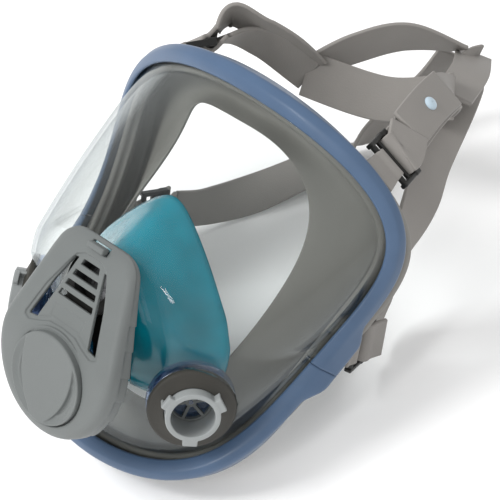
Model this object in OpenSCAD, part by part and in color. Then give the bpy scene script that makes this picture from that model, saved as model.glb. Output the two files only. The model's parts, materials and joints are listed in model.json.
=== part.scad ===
// Full face respirator with two bayonet inlets, a front exhalation cover and a
// four strap rubber harness.  Every module is drawn in the mask's own upright
// frame (x to the wearer's left, y to the back, z up along the lens frame) and
// seat() then leans it back on its chin and on the back of the harness.

/* [Lens frame] */
// Height of the lens frame along its inner edge
frame_height = 214; // [200:1:230]
// Half of the greatest width of the frame's inner edge
frame_half_width = 105; // [98:1:112]
// How far the sides of the frame lie behind its top
frame_sweep = 47; // [38:1:52]
// Mean radial width of the frame band
band_width = 11.5; // [10:0.5:13]
// Depth of the frame band from front to back
band_depth = 14; // [13:0.5:16]
// Wall of the frame channel
band_wall = 2.2; // [2:0.1:2.4]
// Angle from the top at which the upper and lower frame halves meet
split_angle = 109.5; // [107:0.5:111]
// Reach of the screw ears beside the joint
ear_reach = 5.6; // [5:0.1:6.5]

/* [Lens] */
// Thickness of the lens
lens_wall = 2.8; // [2.4:0.1:3.2]
// Reach of the lens crease in front of the sides of the frame
lens_reach = 91; // [85:1:95]
// Outward bow of the lower lens between crease and frame
lower_bow = 6; // [0:1:9]

/* [Inlets] */
// Outer radius of the inlet gasket
gasket_radius = 24.3; // [23:0.1:25]
// Outer radius of the bayonet tube
tube_radius = 15; // [14.5:0.1:15.5]
// Bore radius of the bayonet tube
tube_bore = 12; // [11:0.1:12.5]
// Height of the tube rim above the gasket face
tube_height = 7; // [6:0.5:9]
// Tangential width of one bayonet lug
lug_width = 8; // [6:0.5:9]

/* [Front cover] */
// Radius of the cover's lower lobe
cover_radius = 45; // [43:0.5:46]
// Wall of the cover
cover_wall = 2.2; // [1.8:0.1:2.6]
// Depth of the cover's side wall
cover_depth = 17; // [15:0.5:19]
// Radius of the round cap
cap_radius = 26.5; // [25:0.5:27]

/* [Harness] */
// Width of a harness strap
strap_width = 25; // [22:0.5:26]
// Thickness of a harness strap
strap_thick = 2.6; // [2.2:0.1:3]

/* [Seat] */
// Angle by which the mask leans back on its chin and harness
lean_back = 46; // [40:1:48]

/* [Hidden] */
$fn = 48;

// Colours
slate_blue = [0.27, 0.39, 0.55];
cover_gray = [0.59, 0.60, 0.59];
rubber_gray = [0.50, 0.49, 0.47];
harness_gray = [0.62, 0.60, 0.58];
gasket_brown = [0.27, 0.25, 0.22];
teal = [0.0, 0.55, 0.65];
near_black = [0.12, 0.12, 0.11];
clear_gray = [0.85, 0.87, 0.88, 0.35];
pale_violet = [0.62, 0.66, 0.82, 0.6];
pale_blue = [0.72, 0.78, 0.82];
steel = [0.75, 0.76, 0.78];

eps = 0.01;          // overlap that joins two solids of one piece
run_gap = 0.05;      // radial clearance of a running fit

// ---------------------------------------------------------------- vectors
function unit(v) = v / norm(v);
function mix(a, b, s) = a + (b - a) * s;
function flip_x(p) = [-p.x, p.y, p.z];

// Smooth curve through the points p at the parameter u, one unit per span
function through(p, u) =
    let (n = len(p) - 1, i = max(0, min(floor(u), n - 1)), s = u - i,
         a = p[max(i - 1, 0)], b = p[i], c = p[i + 1], d = p[min(i + 2, n)])
    0.5 * (2 * b + (c - a) * s + (2 * a - 5 * b + 4 * c - d) * s * s
           + (3 * b - a - 3 * c + d) * s * s * s);

// Closed solid through a row of equal loops of points.  A ring joins its last loop to
// its first; otherwise each end is a flat cap, or a fan to a tip where tips are given.
module loft(loops, ring = false, tips = []) {
    n = len(loops);
    m = len(loops[0]);
    last = ring ? n : n - 1;
    sides = [for (i = [0:last - 1], j = [0:m - 1], half = [0, 1])
        let (a = i * m + j, b = i * m + (j + 1) % m,
             c = ((i + 1) % n) * m + (j + 1) % m, d = ((i + 1) % n) * m + j)
        half == 0 ? [a, b, c] : [a, c, d]];
    flat = [[for (j = [m - 1:-1:0]) j], [for (j = [0:m - 1]) (n - 1) * m + j]];
    fans = [for (j = [0:m - 1], k = (j + 1) % m, end = [0, 1])
        end == 0 ? [k, j, n * m] : [(n - 1) * m + j, (n - 1) * m + k, n * m + 1]];
    ends = ring ? [] : len(tips) == 2 ? fans : flat;
    polyhedron(points = concat([for (l = loops) each l], tips), faces = concat(sides, ends), convexity = 8);
}

// Leans the upright mask back about the x axis and lifts it onto the table
seat_height = 96.4;
seat_back = -79.65;
module seat() {
    translate([0, seat_back, seat_height])
        rotate([-lean_back, 0, 0])
            children();
}

// Draws its children on the wearer's left (side 1) or right (side -1)
module on_side(side) {
    if (side > 0) children();
    else mirror([1, 0, 0]) children();
}

// ---------------------------------------------------------------- lens frame
// The frame's inner front edge: an egg shaped loop whose sides sweep back.
// t runs in degrees from the top, positive towards the wearer's left.
function ring_pt(t) = [
    frame_half_width * 1.112 * sin(t) * (1 - 0.07 * cos(t) + 0.129 * cos(2 * t) - 0.087 * cos(3 * t)),
    frame_sweep * pow(sin(t), 2) * (1 + 0.267 * cos(t)) - 3.6,
    frame_height / 2 * cos(t) - 12.8 * cos(2 * t) + 15.7];
// Outward normal of that edge, seen from the front
function ring_out(t) =
    let (d = ring_pt(t + 1) - ring_pt(t - 1))
    unit([-d.z, 0, d.x]);
// Point r outside and y behind the frame's edge, square to the mask
function beside(t, r, y) = ring_pt(t) + r * ring_out(t) + [0, y, 0];
// The band turns from facing forwards at the top and chin to facing outwards at the sides
function band_turn(t) = 56 * pow(sin(t), cos(t) > 0 ? 2 : 4);
// The same, in the band's own turned section
function rim(t, r, y) =
    let (g = band_turn(t))
    beside(t, r * cos(g) - y * sin(g), r * sin(g) + y * cos(g));

groove_r = band_width - band_wall;       // outer wall of the channel, from the edge
groove_front = band_wall;
groove_back = band_depth - band_wall;
lip_r = 3;                               // inner edge of the channel's back wall
flange_r = groove_r - 0.5;               // lens and seal flanges stop here
lens_flange = [groove_front + 0.4, groove_front + 0.4 + lens_wall];
seal_flange = [lens_flange[1] + 0.4, groove_back - 0.4];

// The band swells into an ear on each side of the joint between its halves
ear_middle = 107;                        // angle of the ear's middle from the top
ear_flat = 6;                            // half of its full height, in degrees
ear_fade = 7;
function ear(t) =
    let (from_top = t > 180 ? 360 - t : abs(t),
         s = max(0, min(1, (ear_flat + ear_fade - abs(from_top - ear_middle)) / ear_fade)))
    ear_reach * s * s * (3 - 2 * s);
function band_section(t) =
    let (wide = band_width + ear(t))
    [rim(t, 0, 0), rim(t, band_width * 0.55, -1), rim(t, wide, 4),
     rim(t, wide, band_depth), rim(t, lip_r, band_depth), rim(t, lip_r, groove_back),
     rim(t, groove_r, groove_back), rim(t, groove_r, groove_front), rim(t, 0, groove_front)];

module clamp_band(from, to, step = 3) {
    n = ceil((to - from) / step);
    loft([for (i = [0:n]) band_section(mix(from, to, i / n))]);
}

// The screw runs along the ears, from below the joint up into a round nut
screw_r = 1.5;
screw_head = [2.8, 1.8];                 // radius, height
pocket_r = 3.1;
pocket_from = 6.5;                       // distance of the pockets from the joint
module at_ears(side) {
    centre = rim(split_angle, groove_r + 4, 8.5);
    z = unit(ring_pt(split_angle - 2) - ring_pt(split_angle + 2));
    y = unit(cross(z, rim(split_angle, 1, 0) - rim(split_angle, 0, 0)));
    x = cross(y, z);
    on_side(side) multmatrix([
        [x.x, y.x, z.x, centre.x], [x.y, y.y, z.y, centre.y], [x.z, y.z, z.z, centre.z], [0, 0, 0, 1]])
        children();
}
module ear_bores() for (side = [-1, 1]) at_ears(side) {
    translate([0, 0, -20]) cylinder(h = 40, r = screw_r + 0.1, $fn = 32);
    for (up = [0, 180]) rotate([up, 0, 0]) translate([0, 0, pocket_from]) cylinder(h = 30, r = pocket_r);
}

split_half_gap = 0.2;                    // in degrees
module upper_clamp_ring() color(slate_blue) seat() difference() {
    clamp_band(-split_angle + split_half_gap, split_angle - split_half_gap);
    ear_bores();
}
module lower_clamp_ring() color(slate_blue) seat() difference() {
    clamp_band(split_angle + split_half_gap, 360 - split_angle - split_half_gap);
    ear_bores();
}
module clamp_screws() color(steel) seat() for (side = [-1, 1]) at_ears(side) {
    translate([0, 0, -pocket_from - screw_head[1]]) cylinder(h = screw_head[1], r = screw_head[0]);
    translate([0, 0, -pocket_from - eps]) cylinder(h = 2 * pocket_from + 3, r = screw_r, $fn = 32);
}
nut_height = 2.4;
module clamp_nuts() color(steel) seat() for (side = [-1, 1]) at_ears(side)
    translate([0, 0, pocket_from + 0.02]) difference() {
        cylinder(h = nut_height, r = screw_head[0]);
        translate([0, 0, -1]) cylinder(h = nut_height + 2, r = screw_r + 0.02, $fn = 32);
    }

// ---------------------------------------------------------------- lens
// Crease where the upright upper lens turns down to the chin, a from -90 to 90
function crease(a) =
    let (close = pow(abs(sin(a)), 9))
    [94 * sin(a) + 8 * sin(3 * a) + 6.6 * sign(a) * close,
     40 - lens_reach * cos(a) + cos(3 * a) - 2.4 * close,
     13 * cos(3 * a) - 2.5 + 3.6 * close];
lens_edge_r = -1.6;
lens_start = 2.9;
crease_end = 104;                        // angle from the top at which the crease meets the frame
end_gap = 3;                             // half of the angle that each end of the crease takes
upper_bow = 2;
function upper_edge(f) = rim((crease_end - end_gap) * f, lens_edge_r, lens_start);
function lower_edge(f) = rim(180 - (180 - crease_end - end_gap) * f, lens_edge_r, lens_start);
function bow(p, amount) = amount * unit([p.x, p.y - 70, 0.25 * p.z]);
// Point of the lens, depth behind its outer face: f runs across it from -1 to 1, and v
// from the chin (-1) over the crease (0) to the top (1)
function lens_pt(f, v, depth) =
    let (s = 1 - abs(v), flat = mix(v > 0 ? upper_edge(f) : lower_edge(f), crease(90 * f), s),
         swell = (v > 0 ? upper_bow : lower_bow) * 4 * s * (1 - s) * (1 - pow(f, 6)),
         p = flat + bow(flat, swell))
    p - bow(p, depth);
// The same two numbers for the lens's edge, at the angle t from 0 to 360
function lens_edge(t) =
    let (side = t > 180 ? -1 : 1, a = t > 180 ? 360 - t : t)
    a < crease_end - end_gap ? [side * a / (crease_end - end_gap), 1]
    : a > crease_end + end_gap ? [side * (180 - a) / (180 - crease_end - end_gap), -1]
    : [side, (crease_end - a) / end_gap];
// Angles from the top down to the chin: even steps, and finer ones across a crease end
lens_half = concat(
    [for (i = [0:19]) (crease_end - end_gap) * i / 20],
    [for (i = [-end_gap:end_gap]) crease_end + i],
    [for (i = [1:15]) mix(crease_end + end_gap, 180, i / 15)]);
lens_angles = concat(lens_half, [for (i = [len(lens_half) - 2:-1:1]) 360 - lens_half[i]]);
lens_rings = 11;                         // loops from the middle of the lens to its edge
function lens_loop(q, depth) =
    [for (t = lens_angles) let (e = lens_edge(t)) lens_pt(q * e.x, q * e.y, depth)];
function lens_rim(r, y) = [for (t = lens_angles) rim(t, r, y)];
module lens_shell() {
    loft(concat(
        [for (k = [1:lens_rings - 1]) lens_loop(k / lens_rings, lens_wall)],
        [lens_rim(-3, lens_flange[1]), lens_rim(flange_r, lens_flange[1]),
         lens_rim(flange_r, lens_flange[0])],
        [for (k = [lens_rings:-1:1]) lens_loop(k / lens_rings, 0)]),
        tips = [lens_pt(0, 0, lens_wall), lens_pt(0, 0, 0)]);
}

// ---------------------------------------------------------------- inlets
// The inlet's axis leaves the lens forwards, outwards and a little down
inlet_at = [69.3, -17.3, -52.5];
inlet_turn = [0, 101.65, -39.36];
module at_inlet(side) {
    on_side(side) translate(inlet_at) rotate(inlet_turn) children();
}
gasket_thick = 5;
boss_back = -14;
lens_hole_r = tube_radius + 0.3;
tube_back = -19;
lug_reach = 3;                           // how far a lug stands out from the tube
lug_thick = 3.1;
lug_drop = 0.4;                          // the lugs lie just behind the tube's rim
lug_root = 13.4;                         // the lugs start inside the tube's wall
bore_back = -8.6;                        // the spigot's bore ends here, at the shoulder of the seat pocket
pocket_bore = tube_bore + 0.8;           // radius of the pocket that holds the valve seat
module inlet_tube(side) color(cover_gray) seat() at_inlet(side) {
    difference() {
        union() {
            translate([0, 0, tube_back]) cylinder(h = tube_height - tube_back, r = tube_radius);
            for (a = [18, 138, 258]) rotate(a)
                translate([lug_root, -lug_width / 2, tube_height - lug_drop - lug_thick])
                    cube([tube_radius + lug_reach - lug_root, lug_width, lug_thick]);
        }
        translate([0, 0, tube_back - 1]) cylinder(h = tube_height - tube_back + 2, r = tube_bore);
        translate([0, 0, tube_back - 1]) cylinder(h = bore_back - tube_back + 1, r = pocket_bore);
    }
}
module inlet_gasket(side) color(gasket_brown) seat() at_inlet(side)
    rotate_extrude($fn = 64)
        polygon([[tube_radius + 0.2, -gasket_thick], [gasket_radius, -gasket_thick],
                 [gasket_radius, -2.4], [gasket_radius - 1.4, -1], [tube_radius + 0.2, 1]]);
nut_front = -14.2;
nut_radius = 21;
module inlet_nut(side) color(pale_violet) seat() at_inlet(side)
    translate([0, 0, nut_front - 3.4]) difference() {
        cylinder(h = 3.4, r = nut_radius);
        translate([0, 0, -1]) cylinder(h = 6, r = tube_radius + 0.05);
    }
seat_thick = 2.4;
seat_z = bore_back - 0.3 - seat_thick;   // back face of the inhalation valve's seat
// Valve seat: a ring with a three bar spider and a hole for the flap's stem
module spoked_seat(r, thick, stem_r) {
    linear_extrude(height = thick) difference() {
        circle(r = r - 0.02);
        difference() {
            circle(r = r - 2);
            for (a = [0:60:120]) rotate(a) square([2 * r, 1.6], center = true);
            circle(r = stem_r + 1.7);
        }
        circle(r = stem_r, $fn = 24);
    }
}
module inhalation_seat(side) color(cover_gray) seat() at_inlet(side) translate([0, 0, seat_z])
    spoked_seat(pocket_bore, seat_thick, 1.3);
flap_thick = 0.8;
module inhalation_valve(side) color(pale_violet) seat() at_inlet(side) {
    translate([0, 0, seat_z - flap_thick - 0.05]) cylinder(h = flap_thick, r = pocket_bore - 1.2);
    // the stem ends just under the shoulder, clear of the spigot's bore
    translate([0, 0, seat_z - 0.1]) cylinder(h = bore_back - seat_z, r = 1.25, $fn = 24);
}

// ---------------------------------------------------------------- front parts
// Housing behind the cover: a valve tube below and a speech tube above
valve_z = -52;
valve_tube = [19, 16.5];                 // outer and inner radius
speech_z = -12;
speech_tube = [14.5, 12];
plate_thick = 2.4;
valve_front = -47;                       // y of the front of each tube's flange
speech_front = -51.5;
module facing_front(y, z) {
    translate([0, y, z]) rotate([90, 0, 0]) children();
}
module flanged_tube(z, radii, flange_r, y0, y1) {
    facing_front(y0, z) difference() {
        union() {
            translate([0, 0, -plate_thick]) cylinder(h = plate_thick, r = flange_r);
            translate([0, 0, y0 - y1]) cylinder(h = y1 - y0, r = radii[0]);
        }
        translate([0, 0, y0 - y1 - 1]) cylinder(h = y1 - y0 + 2, r = radii[1]);
    }
}
rib = [16, 7, 7.5];
module component_housing() color(cover_gray) seat() {
    flanged_tube(valve_z, valve_tube, 30, valve_front, -14);
    flanged_tube(speech_z, speech_tube, 18, speech_front, -30);
    translate([-rib.x / 2, speech_front + 0.2, (valve_z + valve_tube[0] + speech_z - speech_tube[0] - rib.z) / 2])
        cube(rib);
}
module exhalation_valve_seat() color(cover_gray) seat() facing_front(-40, valve_z)
    spoked_seat(valve_tube[1], 2.6, 1.5);
module exhalation_valve_disc() color(pale_violet) seat() facing_front(-40, valve_z) {
    translate([0, 0, 2.65]) cylinder(h = 0.9, r = valve_tube[1] - 1);
    translate([0, 0, -2]) cylinder(h = 5, r = 1.45, $fn = 24);
}
module speech_diaphragm() color(steel) seat() facing_front(-40, speech_z)
    cylinder(h = 0.4, r = speech_tube[1] - 0.05);
module diaphragm_ring() color(near_black) seat() facing_front(-40.45, speech_z) difference() {
    cylinder(h = 3, r = speech_tube[1] - 0.02);
    translate([0, 0, -1]) cylinder(h = 5, r = speech_tube[1] - 2.4);
}

lens_clear = 0.4;
module lens() color(clear_gray) seat() difference() {
    union() {
        lens_shell();
        for (side = [-1, 1]) at_inlet(side)
            translate([0, 0, boss_back]) cylinder(h = -gasket_thick - 0.1 - boss_back, r = gasket_radius + 2);
    }
    for (side = [-1, 1]) at_inlet(side) {
        translate([0, 0, -40]) cylinder(h = 60, r = lens_hole_r);
        translate([0, 0, -gasket_thick - 0.1]) cylinder(h = 30, r = gasket_radius + 0.4);
        translate([0, 0, nut_front - 20]) cylinder(h = 20.1, r = nut_radius + 0.4);
    }
    facing_front(0, valve_z) cylinder(h = 80, r = valve_tube[0] + lens_clear);
    facing_front(0, speech_z) cylinder(h = 80, r = speech_tube[0] + lens_clear);
}

// ---------------------------------------------------------------- front cover
// Cover outline: the convex hull of one large and two small circles
shoulder = [14, -2, 17];                 // x, z, radius of the upper circles
lobe_z = -57;
cover_mid = -42;
function corner(k, n) =
    k == 0 ? [0, lobe_z] + cover_radius * n
    : [k * shoulder[0], shoulder[1]] + shoulder[2] * n;
function hull_pt(th) =
    let (n = [cos(th), sin(th)], c = [corner(0, n), corner(1, n), corner(-1, n)],
         h = [for (p = c) p * n], best = max(h))
    h[0] == best ? c[0] : h[1] == best ? c[1] : c[2];
// Front face: an upright plane above and a plane facing down below, blended
upper_plane = [-58.6, 0.055];            // y at z = 0, slope
lower_plane = [-75.6, -0.27];
function cover_front(x, z) =
    let (a = upper_plane[0] + upper_plane[1] * z, b = lower_plane[0] + lower_plane[1] * z)
    0.5 * (a + b + sqrt(pow(a - b, 2) + 9)) + 0.0006 * x * x;
function cover_back(z) = cover_depth - 61.5 - 0.1 * (z + 60);
// Point of the cover's outer face; inset is from the outline, scale to its middle
function cover_pt(th, inset, size, y) =
    let (n = [cos(th), sin(th)], o = hull_pt(th) - inset * n, x = o.x * size,
         z = cover_mid + (o.y - cover_mid) * size)
    [x, y == undef ? cover_back(z) : cover_front(x, z) + y, z];
cover_steps = 72;
function cover_loop(inset, size, y) =
    [for (i = [0:cover_steps - 1]) cover_pt(i * 360 / cover_steps + 2.5, inset, size, y)];
module cover_shell() {
    w = cover_wall;
    loft([
        cover_loop(7, 0.3, 0), cover_loop(7, 0.65, 0), cover_loop(7, 1, 0), cover_loop(3.6, 1, 1.1),
        cover_loop(1.4, 1, 3.4), cover_loop(0.8, 1, 6.5), cover_loop(0, 1),
        cover_loop(w, 1), cover_loop(w + 0.8, 1, 6.5), cover_loop(w + 1.6, 1, 4.4),
        cover_loop(w + 4, 1, w + 0.6), cover_loop(w + 6, 1, w), cover_loop(w + 6, 0.65, w),
        cover_loop(w + 6, 0.3, w)]);
}
cap_z = -70;
cap_tilt = 15;
cap_front = -57.5;
ledge_r = 23.2;
cap_skirt = -5.5;                        // back of the skirt that turns in the ledge
module at_cap() {
    translate([0, cap_front, cap_z]) rotate([90 + cap_tilt, 0, 0]) children();
}
module vent_cuts() {
    for (i = [0:3])
        translate([-(6.8 + 1.9 * i), -70, -6.2 - 6.5 * i]) cube([2 * (6.8 + 1.9 * i), 20, 3.2]);
    for (side = [-1, 1]) on_side(side)
        translate([0, -50, 0]) rotate([90, 0, 0]) linear_extrude(height = 20)
            polygon([[11.5, 0], [13, 0], [24.5, -43], [21, -43]]);
}
latch_size = [13, 6, 3.6];
latch_at = [0, cover_front(0, 8.5) - 0.6, 8.5];
module front_cover() color(cover_gray) seat() difference() {
    union() {
        difference() {
            cover_shell();
            at_cap() translate([0, 0, -12]) cylinder(h = 30, r = cap_radius + 1.6);
        }
        at_cap() translate([0, 0, cap_skirt - 0.2]) difference() {
            cylinder(h = 1 - cap_skirt, r = cap_radius + 2.4);
            translate([0, 0, 1.9]) cylinder(h = 10, r = cap_radius + 0.4);
            translate([0, 0, -1]) cylinder(h = 20, r = ledge_r);
        }
    }
    vent_cuts();
    translate(latch_at) cube([latch_size.x + 0.8, 30, latch_size.z + 0.8], center = true);
}
module cover_latch() color(cover_gray) seat() translate(latch_at) {
    cube(latch_size, center = true);
}
module round_cap() color(cover_gray) seat() at_cap() difference() {
    union() {
        translate([0, 0, cap_skirt + 3]) cylinder(h = 1 - cap_skirt - 3, r = cap_radius);
        translate([0, 0, cap_skirt]) cylinder(h = 4, r = ledge_r - run_gap);
    }
    translate([0, 0, cap_skirt - 1]) cylinder(h = 4.5, r = ledge_r - 2.5);
    for (a = [0, 180]) rotate(a + 20) translate([0, 0, 0.4])
        rotate_extrude(angle = 70, $fn = 64) translate([cap_radius - 5.6, 0]) square([1.2, 2]);
}
module cap_seal() color(near_black) seat() at_cap() translate([0, 0, cap_skirt + 2.35])
    rotate_extrude($fn = 64) translate([ledge_r + 1.5, 0]) circle(r = 0.55, $fn = 16);

// ---------------------------------------------------------------- soft parts
// Inner mask: egg shaped cup sections from the housing back to the face
cup_sections = [                         // y, half width, top, bottom
    [-33, 19, 5, -26], [-24, 30, 18, -42], [-14, 40, 29, -58], [-4, 51, 36, -66], [6, 61, 41, -68]];
cup_nose = 18;                           // how far the nose bridge stands forward of the cheeks
function cup_pt(a, c, inset) =
    let (hw = (c[1] - inset) / 1.1, zm = (c[2] + c[3]) / 2, h = (c[2] - c[3]) / 2 - inset,
         x = hw * sin(a) * (1 - 0.52 * cos(a)), z = zm + h * cos(a), reach = (c[0] + 33) / 39)
    [x, c[0] - cup_nose * reach * max(0, z + 20) / 60, z];
function cup_loop(c, inset) = [for (i = [0:47]) cup_pt(-7.5 * i, c, inset)];
cup_wall = 1.8;
cup_lip = [9, 55, 36, -62];
module nosecup() color(teal) seat() difference() {
    loft(concat(
        [for (i = [0:len(cup_sections) - 1]) cup_loop(cup_sections[i], 0)],
        [cup_loop(cup_lip, 0), cup_loop(cup_lip, 2)],
        [for (i = [len(cup_sections) - 1:-1:0])
            cup_loop(cup_sections[i] + [i == 0 ? cup_wall : 0, 0, 0, 0], cup_wall)]));
    facing_front(0, valve_z) cylinder(h = 60, r = valve_tube[0] + 0.3);
    facing_front(0, speech_z) cylinder(h = 60, r = speech_tube[0] + 0.3);
}

// Edge of the face opening: flat topped, its sides lying behind the top and chin
function opening_pt(t) = [
    59 * sign(sin(t)) * pow(abs(sin(t)), cos(t) > 0 ? 0.5 : 0.7),
    13 + 16 * pow(sin(t), 2) * pow(1 + cos(t), 2),
    8.5 + 83.5 * cos(t)];
// Face seal: flange in the channel, wall going back, lip turned in to the face
seal_wall = 2.4;
function seal_section(t) =
    let (lip = opening_pt(t), flare = 6 * pow(cos(t), 4), back = 28 - 4 * cos(t),
         shield = mix(flare, band_width + ear(t) + 0.6, min(1, 1.6 * pow(sin(t), 2))),
         rear = beside(t, -7, back + 4), turn = mix(rear, lip, 0.45) + [0, 5, 0],
         inner = [0, -seal_wall, 0])
    [rim(t, flange_r, seal_flange[0]), rim(t, flange_r, seal_flange[1]), rim(t, 2.4, seal_flange[1]),
     rim(t, 2.4, band_depth + 0.6), rim(t, shield, band_depth + 0.6),
     beside(t, flare, 21 + 0.8 * ear(t)), beside(t, flare - 1, back), rear, turn, lip,
     lip + inner, turn + inner, rear + inner + [0, -0.6, 0], beside(t, flare - 4.2, back - 3),
     beside(t, flare - 4.2, 19), rim(t, -1.5, band_depth), rim(t, -3, seal_flange[0])];
module face_seal() color(rubber_gray) seat()
    loft([for (t = [0:5:355]) seal_section(t)], ring = true);

// ---------------------------------------------------------------- buckles
// A buckle's own frame: x along its bar, y along the strap, z away from the head.
// Each corner lists the bar's centre, the bar's direction and the strap's direction.
temple_corner = [[81, 45.3, 104.6], unit([0.757, 0.486, -0.432]), unit([-0.35, 0.82, 0.45])];
neck_corner = [[88, 80, -3], unit([0, 0.35, -0.94]), unit([-0.25, 0.91, 0.34])];
module at_corner(side, c) {
    x = c[1];
    z = unit(cross(x, c[2]));
    y = cross(z, x);
    on_side(side) multmatrix([
        [x.x, y.x, z.x, c[0].x], [x.y, y.y, z.y, c[0].y], [x.z, y.z, z.z, c[0].z], [0, 0, 0, 1]])
        children();
}
bar_r = 1.8;
barrel_len = 18;
buckle_half = 15.5;
module strap_tab(side, c, reach) color(harness_gray) seat() at_corner(side, c) difference() {
    union() {
        rotate([0, 90, 0]) cylinder(h = barrel_len, r = 3.4, center = true);
        translate([-barrel_len / 2, -reach, -1.4]) cube([barrel_len, reach - 1, 2.8]);
    }
    rotate([0, 90, 0]) cylinder(h = barrel_len + 2, r = bar_r + run_gap, center = true, $fn = 32);
}
module buckle(side, c) color(near_black) seat() at_corner(side, c) {
    rotate([0, 90, 0]) cylinder(h = 2 * buckle_half - 1, r = bar_r, center = true, $fn = 32);
    for (s = [-1, 1]) translate([s * (buckle_half - 1.25) - 1.25, -2.4, -2.2]) cube([2.5, 18, 4.4]);
    translate([-buckle_half + 1, 5, -1.2]) cube([2 * buckle_half - 2, 2.4, 2.4]);
    translate([-buckle_half, 11.5, -2.6]) cube([2 * buckle_half, 5.5, 5.2]);
}

// ---------------------------------------------------------------- harness
// Each band is [points, width directions]; the left and right hand bands differ
// because the rubber hangs freely.
up = [0, 0, 1];
temple_wide = [0.76, 0.49, -0.43];
left_arm = [[[72, 66, 118], [64, 87, 133], [56, 112, 146], [46, 138, 142]],
            [temple_wide, temple_wide, [0.75, 0.5, -0.4], [0.3, 0.3, -0.9]]];
right_arm = [[[-74, 67, 118], [-72, 80, 123], [-65, 92, 124], [-55, 104, 122], [-42, 122, 117]],
             [flip_x(temple_wide), [-0.6, 0.5, -0.5], [-0.4, 0.5, -0.7], [-0.3, 0.4, -0.8],
              [-0.2, 0.2, -0.95]]];
crown_bar = [[[-44, 120, 116], [0, 142, 121], [46, 138, 142]],
             [-up, [0, -0.2, -1], [0.1, 0.1, -1]]];
left_bar = [[[46, 138, 142], [30, 172, 156], [8, 205, 163]],
            [[0.8, 0.5, 0], [0.8, 0.5, 0], [0.9, 0.4, 0]]];
right_bar = [[[-44, 124, 121], [-30, 138, 141], [-14, 158, 158], [4, 192, 163]],
             [[-0.2, 0.75, -0.6], [0, 0.75, -0.65], [-0.1, 0.75, -0.6], [-0.7, 0.7, -0.3]]];
left_neck = [[[10, 206, 160], [35, 165, 135], [55, 131, 104], [72, 108, 84], [80, 94, 58], [76, 102, 30],
              [76, 108, 13], [82.4, 100.5, 5]],
             [[-0.5, 0.8, 0.2], [0.5, 0.8, 0.2], [0.5, 0.8, 0], [0.3, 0.9, 0], [0, 0.9, 0], [0, 0.9, 0.3],
              [0, 0.8, -0.6], [0, 0.35, -0.94]]];
right_neck = [[[-4, 204, 158], [-18, 208, 130], [-36, 190, 80], [-60, 155, 35], [-76, 125, 12],
               [-82.4, 100.5, 5]],
              [[-0.5, -0.8, -0.2], [-0.3, -0.8, -0.4], [-0.2, -0.6, -0.7], [0, -0.5, -0.8], [0, -0.1, -0.95],
               [0, 0.35, -0.94]]];
left_tail = [[[72, 65, 124], [64, 87, 138], [57, 109, 148]],
             [temple_wide, temple_wide, [0.75, 0.5, -0.4]]];
right_tail = [[[-76, 64, 122], [-73, 69, 134], [-62, 86, 132], [-52, 105, 128], [-45, 124, 121]],
              [[-0.5, 0.6, -0.5], [-0.3, 0.8, -0.55], [-0.2, 0.8, -0.55], [-0.2, 0.8, -0.55],
               [-0.2, 0.8, -0.55]]];

function strap_loop(band, u, w) =
    let (p = through(band[0], u), d = unit(through(band[0], u + 0.02) - through(band[0], u - 0.02)),
         raw = through(band[1], u), side = unit(raw - (raw * d) * d), n = cross(d, side))
    [for (c = [[-1, -1], [-1, 1], [1, 1], [1, -1]]) p + side * c[0] * w / 2 + n * c[1] * strap_thick / 2];
module strap(band, w = strap_width, per_span = 6) {
    n = (len(band[0]) - 1) * per_span;
    loft([for (i = [0:n]) strap_loop(band, min(i / per_span, len(band[0]) - 1 - 0.001), w)]);
}
module harness() color(harness_gray) seat() {
    strap(left_arm);
    strap(right_arm);
    strap(crown_bar, 28);
    strap(left_bar, 24);
    strap(right_bar, 24);
    strap(left_neck);
    strap(right_neck);
    strap(left_tail);
    strap(right_tail);
}

// A stud on the outer face of a band; out is 1 or -1 with the band's winding
module stud(band, u, out) {
    p = through(band[0], u);
    d = unit(through(band[0], u + 0.02) - through(band[0], u - 0.02));
    raw = through(band[1], u);
    side = unit(raw - (raw * d) * d) * out;
    n = cross(side, d);
    multmatrix([[side.x, d.x, n.x, p.x], [side.y, d.y, n.y, p.y], [side.z, d.z, n.z, p.z], [0, 0, 0, 1]])
        translate([0, 0, strap_thick / 2 + 0.2])
            rotate_extrude($fn = 32) polygon([[0, 0], [4, 0], [3.6, 1], [2.4, 1.8], [0, 2.1]]);
}
module strap_studs() color(pale_blue) seat() {
    stud(left_tail, 1, 1);
    stud(right_tail, 2, -1);
}

// ---------------------------------------------------------------- pieces
upper_clamp_ring();
lower_clamp_ring();
clamp_screws();
clamp_nuts();
lens();
face_seal();
nosecup();
component_housing();
exhalation_valve_seat();
exhalation_valve_disc();
speech_diaphragm();
diaphragm_ring();
front_cover();
cover_latch();
round_cap();
cap_seal();
inlet_tube(1);  // inlet_tube_left
inlet_tube(-1);  // inlet_tube_right
inlet_gasket(1);  // inlet_gasket_left
inlet_gasket(-1);  // inlet_gasket_right
inlet_nut(1);  // inlet_nut_left
inlet_nut(-1);  // inlet_nut_right
inhalation_seat(1);  // inhalation_seat_left
inhalation_seat(-1);  // inhalation_seat_right
inhalation_valve(1);  // inhalation_valve_left
inhalation_valve(-1);  // inhalation_valve_right
strap_tab(1, temple_corner, 10);  // temple_tab_left
strap_tab(-1, temple_corner, 10);  // temple_tab_right
strap_tab(1, neck_corner, 6.4);  // neck_tab_left
strap_tab(-1, neck_corner, 6.4);  // neck_tab_right
buckle(1, temple_corner);  // temple_buckle_left
buckle(-1, temple_corner);  // temple_buckle_right
buckle(1, neck_corner);  // neck_buckle_left
buckle(-1, neck_corner);  // neck_buckle_right
harness();
strap_studs();
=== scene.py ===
"""Visual model of a full face respirator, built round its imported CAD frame.

Shapes are worked out in millimetres in the mask's own upright frame (x to the
wearer's left, y to the back, z up) and to_row() leans them back into the row frame.
"""
import json
import math

import bpy
import numpy as np
from mathutils import Matrix, Vector


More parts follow.
